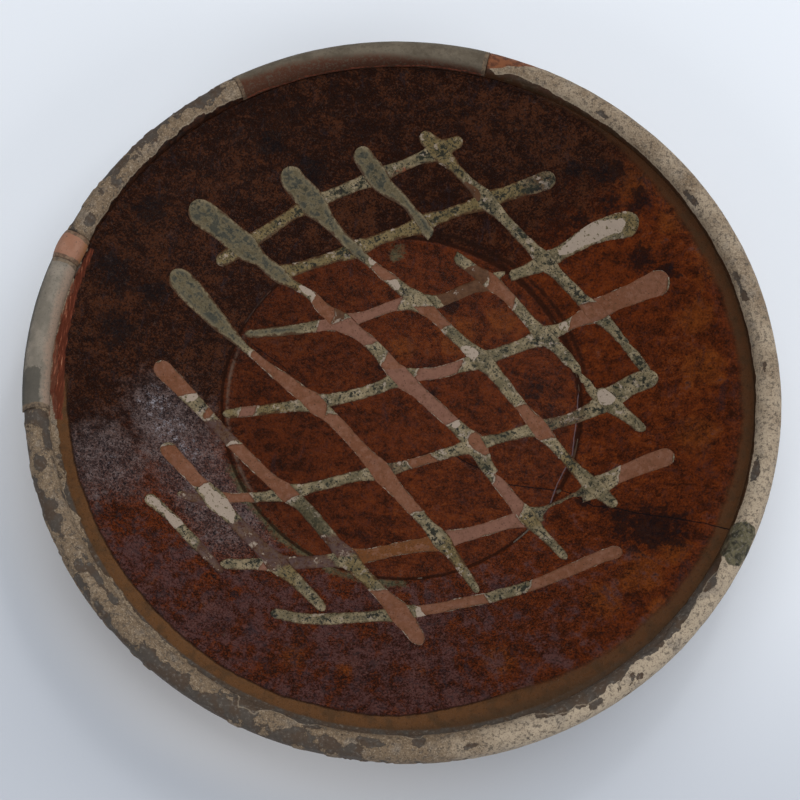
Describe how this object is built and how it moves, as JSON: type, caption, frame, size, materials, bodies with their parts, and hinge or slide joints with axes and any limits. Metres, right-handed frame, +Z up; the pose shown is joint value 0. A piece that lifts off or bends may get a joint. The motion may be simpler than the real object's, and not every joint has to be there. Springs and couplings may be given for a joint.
{
  "type": "earthenware plate",
  "caption": "Round thrown earthenware plate with a rolled rim, glazed inside and trailed with a crossed lattice of pale slip; the rim is mended with plaster.",
  "frame": {"origin": "middle of the flat base, on the surface that the plate stands on", "axes": "+Z up along the plate's axis of turning, -Y towards the viewer of the picture, +X to the right"},
  "size_m": [0.28, 0.28, 0.042],
  "materials": {
    "red_clay": "unglazed fired red clay with a tan crust on the rim",
    "lead_glaze": "glossy red-brown lead glaze, mottled and specked",
    "grey_plaster": "matt toned plaster fill",
    "salmon_plaster": "matt salmon-coloured plaster fill",
    "lower_slip": "pale slip under glaze, specked green and black, flaked in places",
    "upper_slip": "pale slip under glaze, specked green and black, flaked in places"
  },
  "bodies": {
    "root": {"clay_body": "red_clay", "glaze_coat": "lead_glaze", "rim_fill_top": "grey_plaster", "rim_fill_left": "grey_plaster", "rim_fill_plug": "salmon_plaster", "lower_slip_trail_1": "lower_slip", "lower_slip_trail_2": "lower_slip", "lower_slip_trail_3": "lower_slip", "lower_slip_trail_4": "lower_slip", "lower_slip_trail_5": "lower_slip", "lower_slip_trail_6": "lower_slip", "lower_slip_trail_7": "lower_slip", "upper_slip_trail_1": "upper_slip", "upper_slip_trail_2": "upper_slip", "upper_slip_trail_3": "upper_slip", "upper_slip_trail_4": "upper_slip", "upper_slip_trail_5": "upper_slip", "upper_slip_trail_6": "upper_slip", "upper_slip_trail_7": "upper_slip", "upper_slip_trail_8": "upper_slip"}
  },
  "joints": []
}
